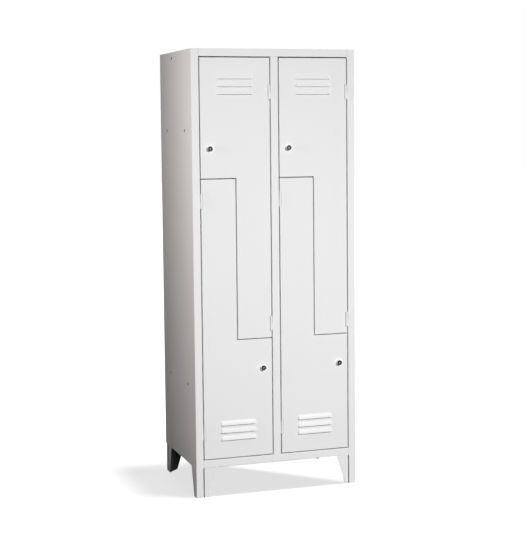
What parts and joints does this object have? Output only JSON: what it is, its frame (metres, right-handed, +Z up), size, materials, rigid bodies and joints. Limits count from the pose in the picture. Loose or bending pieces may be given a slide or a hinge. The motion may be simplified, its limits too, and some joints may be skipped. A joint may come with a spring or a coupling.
{
  "type": "z locker",
  "caption": "Tall painted sheet-steel locker in columns of interlocking L-shaped doors with louvres and cam locks, a stepped shelf in each column and tapered corner feet.",
  "frame": {"origin": "on the floor, under the middle of the box that holds the locker and its lock heads", "axes": "+X to the right seen from the front, +Y from the doors to the back panel, +Z up"},
  "size_m": [0.69, 0.5106, 1.8],
  "materials": {
    "powder_coated_steel": "smooth satin powder coat, very light grey",
    "zinc_plated_steel": "bright zinc plate",
    "dark_lock_metal": "satin dark grey lock",
    "black_plastic": "moulded, matt",
    "black_rubber": "matt"
  },
  "bodies": {
    "carcass": {"left_side_panel": "powder_coated_steel", "right_side_panel": "powder_coated_steel", "roof_panel": "powder_coated_steel", "base_panel": "powder_coated_steel", "back_panel": "powder_coated_steel", "centre_mullion": "powder_coated_steel", "centre_partition": "powder_coated_steel", "z_divider_left": "powder_coated_steel", "z_divider_right": "powder_coated_steel", "z_stop_strip_left": "powder_coated_steel", "z_stop_strip_right": "powder_coated_steel", "foot_post_front_left": "powder_coated_steel", "foot_gusset_front_left": "powder_coated_steel", "foot_post_front_right": "powder_coated_steel", "foot_gusset_front_right": "powder_coated_steel", "foot_post_rear_left": "powder_coated_steel", "foot_gusset_rear_left": "powder_coated_steel", "foot_post_rear_right": "powder_coated_steel", "foot_gusset_rear_right": "powder_coated_steel", "foot_glides": "black_plastic", "hinge_frame_leaves": "powder_coated_steel", "hinge_pins": "zinc_plated_steel", "door_buffers": "black_rubber", "rail_sockets": "zinc_plated_steel", "clothes_rail_upper_left": "zinc_plated_steel", "clothes_rail_lower_left": "zinc_plated_steel", "clothes_rail_upper_right": "zinc_plated_steel", "clothes_rail_lower_right": "zinc_plated_steel"},
    "upper_left_door": {"door_panel_upper_left": "powder_coated_steel", "door_stiffener_upper_left": "powder_coated_steel", "hinge_door_leaves_upper_left": "powder_coated_steel", "lock_housing_upper_left": "dark_lock_metal", "lock_nut_upper_left": "zinc_plated_steel"},
    "upper_left_lock": {"lock_plug_upper_left": "dark_lock_metal", "lock_cam_upper_left": "zinc_plated_steel"},
    "lower_left_door": {"door_panel_lower_left": "powder_coated_steel", "door_stiffener_lower_left": "powder_coated_steel", "hinge_door_leaves_lower_left": "powder_coated_steel", "lock_housing_lower_left": "dark_lock_metal", "lock_nut_lower_left": "zinc_plated_steel"},
    "lower_left_lock": {"lock_plug_lower_left": "dark_lock_metal", "lock_cam_lower_left": "zinc_plated_steel"},
    "upper_right_door": {"door_panel_upper_right": "powder_coated_steel", "door_stiffener_upper_right": "powder_coated_steel", "hinge_door_leaves_upper_right": "powder_coated_steel", "lock_housing_upper_right": "dark_lock_metal", "lock_nut_upper_right": "zinc_plated_steel"},
    "upper_right_lock": {"lock_plug_upper_right": "dark_lock_metal", "lock_cam_upper_right": "zinc_plated_steel"},
    "lower_right_door": {"door_panel_lower_right": "powder_coated_steel", "door_stiffener_lower_right": "powder_coated_steel", "hinge_door_leaves_lower_right": "powder_coated_steel", "lock_housing_lower_right": "dark_lock_metal", "lock_nut_lower_right": "zinc_plated_steel"},
    "lower_right_lock": {"lock_plug_lower_right": "dark_lock_metal", "lock_cam_lower_right": "zinc_plated_steel"}
  },
  "joints": [
    {"name": "upper_left_door_hinge", "type": "hinge", "parent": "carcass", "child": "upper_left_door", "pos_m": [-0.0218, -0.24475, 1.162], "axis": [0, 0, 1], "range_deg": [0, 90]},
    {"name": "upper_left_lock_turn", "type": "hinge", "parent": "upper_left_door", "child": "upper_left_lock", "pos_m": [-0.272, -0.24475, 1.405], "axis": [0, 1, 0], "range_deg": [0, 90]},
    {"name": "lower_left_door_hinge", "type": "hinge", "parent": "carcass", "child": "lower_left_door", "pos_m": [-0.3082, -0.24475, 0.7305], "axis": [0, 0, -1], "range_deg": [0, 90]},
    {"name": "lower_left_lock_turn", "type": "hinge", "parent": "lower_left_door", "child": "lower_left_lock", "pos_m": [-0.058, -0.24475, 0.515], "axis": [0, -1, 0], "range_deg": [0, 90]},
    {"name": "upper_right_door_hinge", "type": "hinge", "parent": "carcass", "child": "upper_right_door", "pos_m": [0.3082, -0.24475, 1.162], "axis": [0, 0, 1], "range_deg": [0, 90]},
    {"name": "upper_right_lock_turn", "type": "hinge", "parent": "upper_right_door", "child": "upper_right_lock", "pos_m": [0.058, -0.24475, 1.405], "axis": [0, 1, 0], "range_deg": [0, 90]},
    {"name": "lower_right_door_hinge", "type": "hinge", "parent": "carcass", "child": "lower_right_door", "pos_m": [0.0218, -0.24475, 0.7305], "axis": [0, 0, -1], "range_deg": [0, 90]},
    {"name": "lower_right_lock_turn", "type": "hinge", "parent": "lower_right_door", "child": "lower_right_lock", "pos_m": [0.272, -0.24475, 0.515], "axis": [0, -1, 0], "range_deg": [0, 90]}
  ]
}
